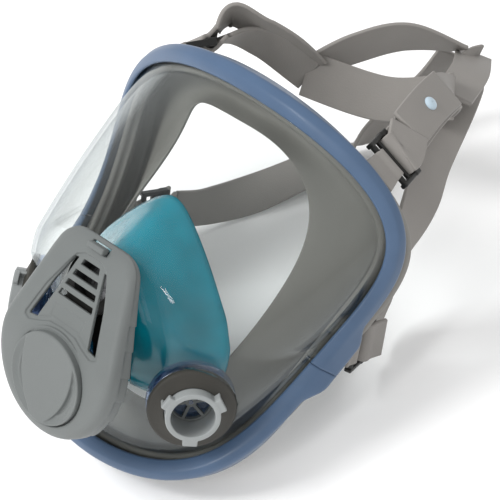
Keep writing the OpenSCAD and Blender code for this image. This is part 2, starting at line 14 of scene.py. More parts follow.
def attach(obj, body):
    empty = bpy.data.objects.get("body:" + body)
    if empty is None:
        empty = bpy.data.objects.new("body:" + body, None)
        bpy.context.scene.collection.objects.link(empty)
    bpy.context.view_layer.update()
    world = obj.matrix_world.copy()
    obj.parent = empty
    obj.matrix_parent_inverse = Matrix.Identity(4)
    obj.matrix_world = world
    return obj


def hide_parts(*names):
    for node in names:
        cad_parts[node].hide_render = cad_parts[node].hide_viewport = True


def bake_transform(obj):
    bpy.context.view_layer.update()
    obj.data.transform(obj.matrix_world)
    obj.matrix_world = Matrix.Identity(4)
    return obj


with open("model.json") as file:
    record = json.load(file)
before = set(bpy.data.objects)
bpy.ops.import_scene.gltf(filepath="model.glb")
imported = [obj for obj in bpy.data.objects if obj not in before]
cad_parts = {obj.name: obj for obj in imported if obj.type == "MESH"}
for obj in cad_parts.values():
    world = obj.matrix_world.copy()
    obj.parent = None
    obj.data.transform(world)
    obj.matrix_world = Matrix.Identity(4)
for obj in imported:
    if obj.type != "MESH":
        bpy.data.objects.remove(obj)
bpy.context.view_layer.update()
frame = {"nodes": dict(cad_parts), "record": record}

# ------------------------------------------------------------------ frames
LEAN = math.radians(46)
SEAT_BACK = -79.65
SEAT_HEIGHT = 96.4


def deg(a):
    return np.radians(a)


def turn_row(v):
    """A direction of the mask frame, in the row frame."""
    v = np.asarray(v, float)
    c, s = math.cos(LEAN), math.sin(LEAN)
    return np.stack([v[..., 0], v[..., 1] * c + v[..., 2] * s, -v[..., 1] * s + v[..., 2] * c], -1)


def to_row(p):
    """Points of the mask frame in mm, in the row frame in metres."""
    return (turn_row(p) + [0, SEAT_BACK, SEAT_HEIGHT]) * 0.001


def unit(v):
    v = np.asarray(v, float)
    return v / np.linalg.norm(v, axis=-1, keepdims=True)


def basis(origin, x, y):
    """A 3x4 placement with its x axis along x and its y axis as near y as it can be."""
    x = unit(x)
    z = unit(np.cross(x, y))
    y = np.cross(z, x)
    return np.stack([x, y, z, np.asarray(origin, float)], -1)


def placed(m, p):
    return np.asarray(p, float) @ m[:, :3].T + m[:, 3]


def flipped(p):
    return np.asarray(p, float) * [-1, 1, 1]


# ------------------------------------------------------------------ curves
def spline(points, u):
    """Smooth curve through the points at parameters u, one unit per span."""
    p = np.asarray(points, float)
    n = len(p) - 1
    u = np.asarray(u, float)
    i = np.clip(np.floor(u), 0, n - 1).astype(int)
    s = (u - i)[..., None]
    a, b, c, d = p[np.maximum(i - 1, 0)], p[i], p[i + 1], p[np.minimum(i + 2, n)]
    return 0.5 * (2 * b + (c - a) * s + (2 * a - 5 * b + 4 * c - d) * s ** 2
                  + (3 * b - a - 3 * c + d) * s ** 3)


def rounded(loop, times=2, closed=True):
    """Corner cutting of loops whose points run along the second last axis."""
    p = np.asarray(loop, float)
    for _ in range(times):
        q = np.roll(p, -1, axis=-2)
        cut = np.stack([0.75 * p + 0.25 * q, 0.25 * p + 0.75 * q], axis=-2)
        p = cut.reshape(p.shape[:-2] + (2 * p.shape[-2], p.shape[-1]))
        if not closed:
            p = p[..., :-2, :]
    return p


def smooth_step(a, b, x):
    s = np.clip((x - a) / (b - a), 0, 1)
    return s * s * (3 - 2 * s)


# ------------------------------------------------------------------ meshes
def signed_volume(verts, faces):
    """Volume within a closed surface, negative where its faces look inwards."""
    total = 0.0
    by_size = {}
    for f in faces:
        by_size.setdefault(len(f), []).append(f)
    for size, group in by_size.items():
        p = verts[np.array(group)]
        for k in range(1, size - 1):
            total += (p[:, 0] * np.cross(p[:, k], p[:, k + 1])).sum()
    return total / 6


def add_mesh(name, verts_mm, faces, mat):
    """A smooth shaded piece from points of the mask frame, its faces looking outwards."""
    verts = to_row(verts_mm)
    if signed_volume(verts, faces) < 0:
        faces = [f[::-1] for f in faces]
    mesh = bpy.data.meshes.new(name)
    mesh.from_pydata(verts.tolist(), [], faces)
    mesh.validate()
    mesh.update()
    mesh.materials.append(mat)
    mesh.polygons.foreach_set("use_smooth", [True] * len(mesh.polygons))
    obj = bpy.data.objects.new(name, mesh)
    bpy.context.scene.collection.objects.link(obj)
    return obj


def loft(name, loops, mat, ring=False, tips=None):
    """Closed surface through equal loops of points.

    A ring joins its last loop to its first. Otherwise each end is one face, or a fan
    to its tip where tips are given.
    """
    loops = np.asarray(loops, float)
    rows, cols = loops.shape[:2]
    r, c = np.meshgrid(np.arange(rows if ring else rows - 1), np.arange(cols), indexing="ij")
    r2, c2 = (r + 1) % rows, (c + 1) % cols
    quads = np.stack([r * cols + c, r * cols + c2, r2 * cols + c2, r2 * cols + c], -1)
    faces = quads.reshape(-1, 4).tolist()
    verts = loops.reshape(-1, 3)
    end = (rows - 1) * cols
    if tips is not None:
        verts = np.concatenate([verts, tips])
        around = [(j, (j + 1) % cols) for j in range(cols)]
        faces += [[b, a, rows * cols] for a, b in around]
        faces += [[end + a, end + b, rows * cols + 1] for a, b in around]
    elif not ring:
        faces += [list(range(cols))[::-1], list(range(end, end + cols))]
    return add_mesh(name, verts, faces, mat)


def lathe(name, profile, place, mat, steps=128):
    """Closed profile of (radius, height) points turned round the placement's z axis."""
    profile = np.asarray(profile, float)
    a = np.linspace(0, 2 * np.pi, steps, endpoint=False)[:, None]
    loops = np.stack([profile[:, 0] * np.cos(a), profile[:, 0] * np.sin(a), profile[:, 1] + 0 * a], -1)
    return loft(name, placed(place, loops), mat, ring=True)


# ------------------------------------------------------------------ distance fields
def smin(a, b, k):
    h = np.clip(0.5 + 0.5 * (b - a) / k, 0, 1)
    return b * (1 - h) + a * h - k * h * (1 - h)


def smax(a, b, k):
    return -smin(-a, -b, k)


def box(x, y, z, centre, half, r=0.5):
    q = [np.abs(v - c) - h + r for v, c, h in zip((x, y, z), centre, half)]
    out = np.sqrt(sum(np.maximum(v, 0) ** 2 for v in q))
    return out + np.minimum(np.maximum(np.maximum(q[0], q[1]), q[2]), 0) - r


def rod(a, b, along, radius, half, r=0.4):
    """A rounded cylinder: a and b lie across its axis, along is measured from its middle."""
    q0 = np.hypot(a, b) - radius + r
    q1 = np.abs(along) - half + r
    return np.hypot(np.maximum(q0, 0), np.maximum(q1, 0)) + np.minimum(np.maximum(q0, q1), 0) - r


def polygon_field(x, z, points):
    """Signed distance to a polygon, negative inside."""
    best = np.full(np.broadcast(x, z).shape, 1e9)
    inside = np.zeros(best.shape, bool)
    n = len(points)
    for i in range(n):
        ax, az = points[i]
        bx, bz = points[(i + 1) % n]
        ex, ez = bx - ax, bz - az
        t = np.clip(((x - ax) * ex + (z - az) * ez) / (ex * ex + ez * ez), 0, 1)
        best = np.minimum(best, np.hypot(x - ax - t * ex, z - az - t * ez))
        if ez:
            inside ^= ((az > z) != (bz > z)) & (x < ax + (z - az) * ex / ez)
    return np.where(inside, -best, best)


def settled(inside):
    """Fills samples that would only touch diagonally, so that the surface stays one sheet."""
    inside = inside.copy()
    filled = True
    while filled:
        filled = False
        for a, b in ((0, 1), (0, 2), (1, 2)):
            quad = []
            for i, j in ((0, 0), (1, 1), (0, 1), (1, 0)):
                cut_out = [slice(None)] * 3
                cut_out[a] = slice(i, inside.shape[a] - 1 + i)
                cut_out[b] = slice(j, inside.shape[b] - 1 + j)
                quad.append(inside[tuple(cut_out)])
            for near, far, gap, other in (quad, quad[2:] + quad[:2]):
                crossed = near & far & ~gap & ~other
                if crossed.any():
                    gap |= crossed
                    filled = True
    return inside


def field_mesh(field, low, high, step):
    """Surface nets round the zero of a distance field, then pulled onto it."""
    axes = [np.arange(a, b + step, step) for a, b in zip(low, high)]
    d = field(axes[0][:, None, None], axes[1][None, :, None], axes[2][None, None, :])
    shape = tuple(len(a) for a in axes)
    inside = settled(np.broadcast_to(d, shape) < 0)
    d = np.where(inside, np.minimum(d, -1e-4), d)
    cells = tuple(s - 1 for s in shape)

    def part(a, i, j, k):
        return a[i:i + cells[0], j:j + cells[1], k:k + cells[2]]

    corners = [(i, j, k) for i in (0, 1) for j in (0, 1) for k in (0, 1)]
    count = sum(part(inside, *c).astype(np.int8) for c in corners)
    active = (count > 0) & (count < 8)
    where = np.argwhere(active)
    number = np.full(cells, -1)
    number[active] = np.arange(len(where))
    total = np.zeros((len(where), 3))
    hits = np.zeros(len(where))
    for axis in range(3):
        for c in corners:
            if c[axis]:
                continue
            e = list(c)
            e[axis] = 1
            da = d[tuple((where + c).T)]
            db = d[tuple((where + e).T)]
            cross = (da < 0) != (db < 0)
            t = np.where(cross, da / np.where(cross, da - db, 1), 0)
            p = np.array(c, float) + t[:, None] * np.eye(3)[axis]
            total += p * cross[:, None]
            hits += cross
    verts = np.array(low) + (where + total / hits[:, None]) * step
    for _ in range(2):
        h = 0.05
        x, y, z = verts.T
        f = field(x, y, z)
        g = np.stack([field(x + h, y, z) - field(x - h, y, z), field(x, y + h, z) - field(x, y - h, z),
                      field(x, y, z + h) - field(x, y, z - h)], -1) / (2 * h)
        move = -f[:, None] * g / np.maximum((g ** 2).sum(-1, keepdims=True), 0.25)
        size = np.linalg.norm(move, axis=-1, keepdims=True)
        verts = verts + move * np.minimum(1, 0.5 * step / np.maximum(size, 1e-9))
    faces = []
    for axis in range(3):
        b, c = (axis + 1) % 3, (axis + 2) % 3
        lo = [slice(0, s) for s in shape]
        hi = [slice(0, s) for s in shape]
        lo[axis], hi[axis] = slice(0, shape[axis] - 1), slice(1, shape[axis])
        for k in (b, c):
            lo[k] = hi[k] = slice(1, shape[k] - 1)
        ia, ib = inside[tuple(lo)], inside[tuple(hi)]
        at = np.argwhere(ia != ib)
        out = ia[tuple(at.T)]
        at[:, b] += 1
        at[:, c] += 1
        quad = []
        for db, dc in ((1, 1), (0, 1), (0, 0), (1, 0)):
            q = at.copy()
            q[:, b] -= db
            q[:, c] -= dc
            quad.append(number[tuple(q.T)])
        quad = np.stack(quad, -1)
        quad[~out] = quad[~out][:, ::-1]
        faces += quad.tolist()
    return verts, faces


def field_object(name, field, low, high, step, mat, place=None, mirror=False):
    verts, faces = field_mesh(field, low, high, step)
    if place is not None:
        verts = placed(place, verts)
    if mirror:
        verts, faces = flipped(verts), [f[::-1] for f in faces]
    return add_mesh(name, verts, faces, mat)


# ------------------------------------------------------------------ materials
def finish(name, colour, rough, grain=0.0, grain_size=900, mottle=0.05, mottle_size=60,
           metallic=0.0, through=0.0, under=0.0, alpha=1.0, coat=0.0, ior=1.46, sheen=0.0):
    """Procedural surface: mottled colour, uneven roughness and a fine grain in relief."""
    mat = bpy.data.materials.new(name)
    mat.use_nodes = True
    nodes, links = mat.node_tree.nodes, mat.node_tree.links
    shader = nodes["Principled BSDF"]
    where = nodes.new("ShaderNodeTexCoord")
    cloud = nodes.new("ShaderNodeTexNoise")
    cloud.inputs["Scale"].default_value = mottle_size
    cloud.inputs["Detail"].default_value = 5
    links.new(where.outputs["Object"], cloud.inputs["Vector"])
    tone = nodes.new("ShaderNodeMapRange")
    tone.inputs["To Min"].default_value = 1 - mottle
    tone.inputs["To Max"].default_value = 1 + mottle
    links.new(cloud.outputs["Fac"], tone.inputs["Value"])
    mix = nodes.new("ShaderNodeVectorMath")
    mix.operation = "SCALE"
    mix.inputs[0].default_value = colour
    links.new(tone.outputs["Result"], mix.inputs["Scale"])
    links.new(mix.outputs["Vector"], shader.inputs["Base Color"])
    uneven = nodes.new("ShaderNodeMapRange")
    uneven.inputs["To Min"].default_value = max(0.02, rough - 0.06)
    uneven.inputs["To Max"].default_value = rough + 0.08
    links.new(cloud.outputs["Fac"], uneven.inputs["Value"])
    links.new(uneven.outputs["Result"], shader.inputs["Roughness"])
    if grain:
        speck = nodes.new("ShaderNodeTexNoise")
        speck.inputs["Scale"].default_value = grain_size
        speck.inputs["Detail"].default_value = 3
        links.new(where.outputs["Object"], speck.inputs["Vector"])
        bump = nodes.new("ShaderNodeBump")
        bump.inputs["Strength"].default_value = grain
        bump.inputs["Distance"].default_value = 0.0004
        links.new(speck.outputs["Fac"], bump.inputs["Height"])
        links.new(bump.outputs["Normal"], shader.inputs["Normal"])
    shader.inputs["Metallic"].default_value = metallic
    shader.inputs["IOR"].default_value = ior
    shader.inputs["Alpha"].default_value = alpha
    shader.inputs["Transmission Weight"].default_value = through
    shader.inputs["Subsurface Weight"].default_value = under
    shader.inputs["Subsurface Scale"].default_value = 0.004
    shader.inputs["Coat Weight"].default_value = coat
    shader.inputs["Coat Roughness"].default_value = 0.12
    shader.inputs["Sheen Weight"].default_value = sheen
    return mat


def clear_finish(name, tint, gloss, least, most, power=3.0, rough=0.03):
    """Thin clear plastic: light passes straight on, with a sharp reflection that grows at a grazing view."""
    mat = bpy.data.materials.new(name)
    mat.use_nodes = True
    nodes, links = mat.node_tree.nodes, mat.node_tree.links
    nodes.remove(nodes["Principled BSDF"])
    out = nodes["Material Output"]
    pane = nodes.new("ShaderNodeBsdfTransparent")
    pane.inputs["Color"].default_value = (*tint, 1)
    shine = nodes.new("ShaderNodeBsdfGlossy")
    shine.inputs["Color"].default_value = (*gloss, 1)
    shine.inputs["Roughness"].default_value = rough
    slope = nodes.new("ShaderNodeLayerWeight")
    slope.inputs["Blend"].default_value = 0.5
    steep = nodes.new("ShaderNodeMath")
    steep.operation = "POWER"
    steep.inputs[1].default_value = power
    share = nodes.new("ShaderNodeMapRange")
    share.inputs["To Min"].default_value = least
    share.inputs["To Max"].default_value = most
    join = nodes.new("ShaderNodeMixShader")
    links.new(slope.outputs["Facing"], steep.inputs[0])
    links.new(steep.outputs["Value"], share.inputs["Value"])
    links.new(share.outputs["Result"], join.inputs["Fac"])
    links.new(pane.outputs["BSDF"], join.inputs[1])
    links.new(shine.outputs["BSDF"], join.inputs[2])
    links.new(join.outputs["Shader"], out.inputs["Surface"])
    return mat


SLATE = finish("slate_plastic", (0.062, 0.104, 0.178), 0.38, grain=0.10, mottle=0.12, coat=0.10)
GRAY = finish("gray_plastic", (0.128, 0.138, 0.136), 0.46, grain=0.30, grain_size=1500, mottle=0.06)
TUBE = finish("pale_gray_plastic", (0.26, 0.275, 0.275), 0.34, grain=0.12, grain_size=1200, mottle=0.05)
SEAL = finish("seal_rubber", (0.185, 0.177, 0.162), 0.50, grain=0.12, mottle=0.06)
STRAP = finish("harness_rubber", (0.235, 0.222, 0.208), 0.58, grain=0.30, grain_size=1200, mottle=0.07)
GASKET = finish("gasket_rubber", (0.036, 0.034, 0.029), 0.62, grain=0.30, mottle=0.15)
TEAL = finish("teal_silicone", (0.0, 0.235, 0.315), 0.16, grain=0.05, grain_size=300, mottle=0.55,
              mottle_size=30, through=0.22, under=0.10, coat=0.6, ior=1.40)
BLACK = finish("black_plastic", (0.012, 0.012, 0.011), 0.36, grain=0.2, mottle=0.15)
PALE = finish("blue_plastic", (0.47, 0.58, 0.66), 0.3, grain=0.05, through=0.1)
STEEL = finish("steel", (0.62, 0.63, 0.65), 0.28, metallic=1.0, mottle=0.08)
CLEAR = clear_finish("clear_lens", (0.955, 0.968, 0.966), (0.60, 0.63, 0.64), 0.03, 0.80)
VIOLET = clear_finish("violet_clear", (0.60, 0.69, 0.86), (0.75, 0.80, 0.92), 0.08, 0.80, rough=0.12)

MATERIAL_OF_SLOT = {
    "slate_plastic": SLATE, "gray_plastic": GRAY, "seal_rubber": SEAL, "harness_rubber": STRAP,
    "gasket_rubber": GASKET, "teal_silicone": TEAL, "violet_clear": VIOLET, "black_plastic": BLACK,
    "blue_plastic": PALE, "steel": STEEL, "clear_lens": CLEAR}


def own(obj, body, slot, *nodes):
    """obj moves with a CAD body and stands for the given CAD nodes; slot is not used."""
    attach(obj, body)
    if nodes:
        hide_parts(*nodes)
    return obj


# ------------------------------------------------------------------ lens frame
FRAME_HEIGHT, FRAME_HALF_WIDTH, FRAME_SWEEP = 214.0, 105.0, 47.0
BAND_WIDTH, BAND_DEPTH, BAND_WALL = 11.5, 14.0, 2.2
SPLIT, SPLIT_HALF_GAP = 109.5, 0.12
EAR_REACH, EAR_MIDDLE, EAR_FLAT, EAR_FADE = 5.6, 107.0, 6.0, 7.0


def ring_pt(t):
    s, c = np.sin(deg(t)), np.cos(deg(t))
    squareness = 1 - 0.07 * c + 0.129 * np.cos(deg(2 * t)) - 0.087 * np.cos(deg(3 * t))
    x = FRAME_HALF_WIDTH * 1.112 * s * squareness
    y = FRAME_SWEEP * s ** 2 * (1 + 0.267 * c) - 3.6
    z = FRAME_HEIGHT / 2 * c - 12.8 * np.cos(deg(2 * t)) + 15.7
    return np.stack([x, y, z], -1)


def ring_out(t):
    d = ring_pt(t + 1) - ring_pt(t - 1)
    return unit(np.stack([-d[..., 2], 0 * d[..., 0], d[..., 0]], -1))


def beside(t, r, y):
    t, r, y = np.broadcast_arrays(np.asarray(t, float), r, y)
    return ring_pt(t) + r[..., None] * ring_out(t) + y[..., None] * np.array([0.0, 1, 0])


def band_turn(t):
    s, c = np.sin(deg(t)), np.cos(deg(t))
    return deg(56 * np.where(c > 0, s ** 2, s ** 4))


def rim(t, r, y):
    g = band_turn(t)
    return beside(t, r * np.cos(g) - y * np.sin(g), r * np.sin(g) + y * np.cos(g))


def ear(t):
    top = np.where(t > 180, 360 - t, np.abs(t))
    s = np.clip((EAR_FLAT + EAR_FADE - np.abs(top - EAR_MIDDLE)) / EAR_FADE, 0, 1)
    return EAR_REACH * s * s * (3 - 2 * s)


def section(t, points):
    """Loops of rim points; each point is (r, y) with r and y numbers or functions of t."""
    return np.stack([rim(t, r + 0 * t, y + 0 * t) for r, y in points], -2)


def band_loops(t):
    wide = BAND_WIDTH + ear(t)
    lip, back, front = 3.0, BAND_DEPTH - BAND_WALL, BAND_WALL
    crest = 0.55 * BAND_WIDTH
    groove = BAND_WIDTH - BAND_WALL
    pts = [(0.15, front + 0.2), (-0.15, 1.6), (0.1, 0.6), (0.9, 0.0), (crest - 1.2, -0.75), (crest, -0.95),
           (crest + 1.2, -0.7), (wide - 2.2, 0.15), (wide - 0.9, 0.75), (wide - 0.2, 1.8), (wide, 3.2),
           (wide, BAND_DEPTH - 1.6), (wide - 0.5, BAND_DEPTH - 0.5), (wide - 1.5, BAND_DEPTH),
           (lip + 0.8, BAND_DEPTH), (lip, BAND_DEPTH - 0.6), (lip, back + 0.2), (lip + 0.6, back),
           (groove, back), (groove, front), (0.9, front)]
    return section(t, pts)


def build_frame():
    upper_t = np.linspace(-SPLIT + SPLIT_HALF_GAP, SPLIT - SPLIT_HALF_GAP, 440)
    lower_t = np.linspace(SPLIT + SPLIT_HALF_GAP, 360 - SPLIT - SPLIT_HALF_GAP, 300)
    own(loft("frame_upper", band_loops(upper_t), SLATE), "facepiece", "slate_plastic", "upper_clamp_ring")
    own(loft("frame_lower", band_loops(lower_t), SLATE), "facepiece", "slate_plastic", "lower_clamp_ring")


# ------------------------------------------------------------------ lens
LENS_WALL, LENS_REACH, UPPER_BOW, LOWER_BOW = 2.8, 91.0, 2.0, 6.0
CREASE_END, END_GAP, CREASE_SOFT = 104.0, 3.0, 0.012
LENS_EDGE_R, LENS_START = -1.6, 2.9
LENS_FLANGE, FLANGE_R = (2.6, 5.4), 8.8
INLET_AT = np.array([69.3, -17.3, -52.5])


def rotation(ax, ay, az):
    ax, ay, az = deg(ax), deg(ay), deg(az)
    rx = np.array([[1, 0, 0], [0, np.cos(ax), -np.sin(ax)], [0, np.sin(ax), np.cos(ax)]])
    ry = np.array([[np.cos(ay), 0, np.sin(ay)], [0, 1, 0], [-np.sin(ay), 0, np.cos(ay)]])
    rz = np.array([[np.cos(az), -np.sin(az), 0], [np.sin(az), np.cos(az), 0], [0, 0, 1]])
    return rz @ ry @ rx


INLET = np.concatenate([rotation(0, 101.65, -39.36), INLET_AT[:, None]], 1)
VALVE_Z, SPEECH_Z = -52.0, -12.0


def crease(a):
    s, c = np.sin(deg(a)), np.cos(deg(a))
    close = np.abs(s) ** 9
    x = 94 * s + 8 * np.sin(deg(3 * a)) + 6.6 * np.sign(a) * close
    return np.stack([x, 40 - LENS_REACH * c + np.cos(deg(3 * a)) - 2.4 * close,
                     13 * np.cos(deg(3 * a)) - 2.5 + 3.6 * close], -1)


def bow(p, amount):
    return amount[..., None] * unit(p * [1, 1, 0.25] - [0, 70, 0])


def lens_pt(f, v, depth):
    """Point of the lens: f runs across it, v from the chin (-1) over the crease (0) to the top (1)."""
    top = rim((CREASE_END - END_GAP) * f, LENS_EDGE_R, LENS_START)
    low = rim(180 - (180 - CREASE_END - END_GAP) * f, LENS_EDGE_R, LENS_START)
    edge = np.where((v > 0)[..., None], top, low)
    s = 1 - np.sqrt(v ** 2 + CREASE_SOFT ** 2 * (1 - v ** 2))
    flat = edge * (1 - s[..., None]) + crease(90 * f) * s[..., None]
    swell = np.where(v > 0, UPPER_BOW, LOWER_BOW) * 4 * s * (1 - s) * (1 - f ** 6)
    p = flat + bow(flat, swell)
    return p - bow(p, depth + 0 * f)


def lens_edge(t):
    side = np.where(t > 180, -1.0, 1.0)
    a = np.where(t > 180, 360 - t, t)
    upper, lower = CREASE_END - END_GAP, CREASE_END + END_GAP
    f = np.where(a < upper, a / upper, np.where(a > lower, (180 - a) / (180 - lower), 1)) * side
    return f, np.clip((CREASE_END - a) / END_GAP, -1, 1)


def cylinder_cutter(name, place, radius, low, high):
    profile = [(0.001, low), (radius, low), (radius, high), (0.001, high)]
    return lathe(name, profile, place, CLEAR, steps=96)


def cut(obj, cutters):
    """Takes the cutters out of obj's own mesh and removes them."""
    for cutter in cutters:
        mod = obj.modifiers.new("cut", "BOOLEAN")
        mod.operation = "DIFFERENCE"
        mod.solver = "MANIFOLD"
        mod.object = cutter
    bpy.context.view_layer.update()
    shaped = bpy.data.meshes.new_from_object(obj.evaluated_get(bpy.context.evaluated_depsgraph_get()))
    obj.modifiers.clear()
    obj.data = shaped
    for cutter in cutters:
        bpy.data.objects.remove(cutter)
    return obj


def mirrored(place):
    """The placement on the other side, turned so that it stays right handed."""
    m = place.copy()
    m[0] *= -1
    m[:, 1] *= -1
    return m


def facing_front(z, y=0.0):
    return basis([0, y, z], [1, 0, 0], [0, 0, 1])


def build_lens():
    half = np.concatenate([np.linspace(0, CREASE_END - END_GAP, 90, endpoint=False),
                           np.linspace(CREASE_END - END_GAP, CREASE_END + END_GAP, 40, endpoint=False),
                           np.linspace(CREASE_END + END_GAP, 180, 60)])
    t = np.concatenate([half, 360 - half[-2:0:-1]])
    f, v = lens_edge(t)
    levels = np.linspace(0, 1, 60)[1:]
    inner = [lens_pt(q * f, q * v, LENS_WALL) for q in levels[:-1]]
    outer = [lens_pt(q * f, q * v, 0.0) for q in levels[::-1]]
    flange = [rim(t, r + 0 * t, y + 0 * t) for r, y in
              ((-3, LENS_FLANGE[1]), (FLANGE_R, LENS_FLANGE[1]), (FLANGE_R, LENS_FLANGE[0]))]
    middle = np.zeros(1)
    tips = np.concatenate([lens_pt(middle, middle, LENS_WALL), lens_pt(middle, middle, 0.0)])
    lens = loft("lens_shell", inner + flange + outer, CLEAR, tips=tips)
    cutters = []
    for k, place in enumerate((INLET, mirrored(INLET))):
        cutters.append(cylinder_cutter(f"hole_{k}", place, 15.3, -40, 20))
        cutters.append(cylinder_cutter(f"face_{k}", place, 24.7, -5.1, 25))
    cutters.append(cylinder_cutter("valve_hole", facing_front(VALVE_Z), 19.4, 0, 80))
    cutters.append(cylinder_cutter("speech_hole", facing_front(SPEECH_Z), 14.9, 0, 80))
    cut(lens, cutters)
    own(lens, "facepiece", "clear_lens", "lens")
    collar = [(15.4, -13.6), (23.6, -13.6), (24.4, -12.6), (24.4, -6.6), (23.8, -5.2), (15.4, -5.2)]
    for side, place in (("left", INLET), ("right", mirrored(INLET))):
        own(lathe(f"lens_boss_{side}", collar, place, VIOLET), "facepiece", "violet_clear")


# ------------------------------------------------------------------ face seal
def opening_pt(t):
    s, c = np.sin(deg(t)), np.cos(deg(t))
    x = 59 * np.sign(s) * np.abs(s) ** np.where(c > 0, 0.5, 0.7)
    return np.stack([x, 13 + 16 * s ** 2 * (1 + c) ** 2, 8.5 + 83.5 * c], -1)


def build_seal():
    t = np.arange(0, 360, 1.0)
    s, c = np.sin(deg(t)), np.cos(deg(t))
    lip = opening_pt(t)
    flare, back = 6 * c ** 4, 28 - 4 * c
    share = np.minimum(1, 1.6 * s ** 2)
    shield = flare * (1 - share) + (BAND_WIDTH + ear(t) + 0.6) * share
    rear = beside(t, -7 + 0 * t, back + 4)
    turn = rear * 0.55 + lip * 0.45 + [0, 5, 0]
    inner = np.array([0, -2.4, 0])
    edge = unit(lip - turn)

    def at(r, y):
        return rim(t, r + 0 * t, y + 0 * t)

    pts = [at(8.8, 6), at(8.8, 11), at(2.4, 11.2), at(2.4, 14.6),
           rim(t, shield, 14.6 + 0 * t), beside(t, flare, 21 + 0.8 * ear(t)),
           beside(t, flare + 0.2, 25 + 0 * t), beside(t, flare - 1, back), rear, turn,
           lip - edge * 2, lip + [0, 0.3, 0],
           lip + inner * 0.9, lip - edge * 2 + inner, turn + inner, rear + inner + [0, -0.6, 0],
           beside(t, flare - 4.2, back - 3), beside(t, flare - 4.2, 19 + 0 * t), at(-1.2, 14.2),
           at(-0.9, 11.6), at(-1.4, 10.2), at(-2.6, 9.6), at(-3.4, 8.4), at(-3.2, 7.0), at(-2.2, 6.1),
           at(-0.5, 5.9)]
    loops = rounded(np.stack(pts, -2), 2)
    own(loft("seal", loops, SEAL, ring=True), "facepiece", "seal_rubber", "face_seal")


# ------------------------------------------------------------------ nosecup
CUP_SECTIONS = np.array([          # y, half width, top, bottom
    [-33, 19, 5, -26], [-24, 30, 18, -42], [-14, 40, 29, -58], [-4, 51, 36, -66],
    [6, 61, 41, -68], [9, 55, 36, -62]])


def cup_loop(sec, inset, steps=180):
    a = np.linspace(0, 2 * np.pi, steps, endpoint=False)
    hw = (sec[1] - inset) / 1.1
    mid, h = (sec[2] + sec[3]) / 2, (sec[2] - sec[3]) / 2 - inset
    x = hw * np.sin(a) * (1 - 0.52 * np.cos(a))
    z = mid + h * np.cos(a)
    reach = (sec[0] + 33) / 39
    y = sec[0] - 18 * reach * np.maximum(0, z + 20) / 60
    crease_line = 0.9 * np.exp(-((np.cos(a) - 0.15) / 0.1) ** 2) * np.clip(reach, 0, 1)
    return np.stack([x, y + crease_line, z], -1)


def build_nosecup():
    u = np.linspace(0, 4, 60)
    body = [spline(CUP_SECTIONS, k) for k in u]
    outer = [cup_loop(s, 0) for s in body]
    rimmed = [cup_loop(CUP_SECTIONS[4] + [1.6, 1.2, 1.2, -1.2], 0),
              cup_loop(CUP_SECTIONS[4] + [2.6, 0, 0, 0], 0),
              cup_loop(CUP_SECTIONS[5], 0), cup_loop(CUP_SECTIONS[5] + [0.3, 0, 0, 0], 2),
              cup_loop(CUP_SECTIONS[5] + [-1.2, 0, 0, 0], 2)]
    inner = [cup_loop(s + [1.8 * (k == 0), 0, 0, 0], 1.8) for k, s in zip(u[::-1], body[::-1])]
    cup = loft("nosecup_shell", outer + rimmed + inner, TEAL)
    cut(cup, [cylinder_cutter("cup_valve", facing_front(VALVE_Z), 19.3, -5, 60),
              cylinder_cutter("cup_speech", facing_front(SPEECH_Z), 14.8, -5, 60)])
    own(cup, "facepiece", "teal_silicone", "nosecup")


# ------------------------------------------------------------------ front cover
COVER_DEPTH, COVER_WALL = 17.0, 2.2
CAP_AT, CAP_TILT, CAP_RADIUS = np.array([0, -57.5, -70.0]), 15.0, 26.5
CAP = basis(CAP_AT, [1, 0, 0], [0, -math.sin(deg(CAP_TILT)), math.cos(deg(CAP_TILT))])
OUTLINE = [(0.0, -57.0, 45.0), (14.0, -2.0, 17.0)]      # x, z, radius of the lobe and of a shoulder
PANEL = [(0, 1.2), (6, 1.0), (10.6, -1.4), (13.2, -6), (21.2, -23.5), (27.2, -43.6),
         (24.6, -44.6), (17, -41.8), (10.5, -38.8), (0, -38.0)]
SLOTS = [(6.6, -2.8), (9.2, -9.8), (11.3, -16.4), (12.9, -23.0)]   # half width, middle height
SIDE_SLOT = [(10.2, -1.6), (12.8, -2.2), (19.8, -19.5), (26.6, -43.4), (20.4, -42.4), (14.4, -19.8)]


def outline_field(x, z):
    best = np.full(np.broadcast(x, z).shape, -1e9)
    for a in np.radians(np.linspace(-90, 90, 73)):
        reach = max(c[0] * math.cos(a) + c[1] * math.sin(a) + c[2] for c in OUTLINE)
        best = np.maximum(best, np.abs(x) * math.cos(a) + z * math.sin(a) - reach)
    return best


def cover_front(x, z):
    a, b = -58.6 + 0.055 * z, -75.6 - 0.27 * z
    return 0.5 * (a + b + np.sqrt((a - b) ** 2 + 9)) + 0.0006 * x * x + 0.022 * np.maximum(0, z) ** 2


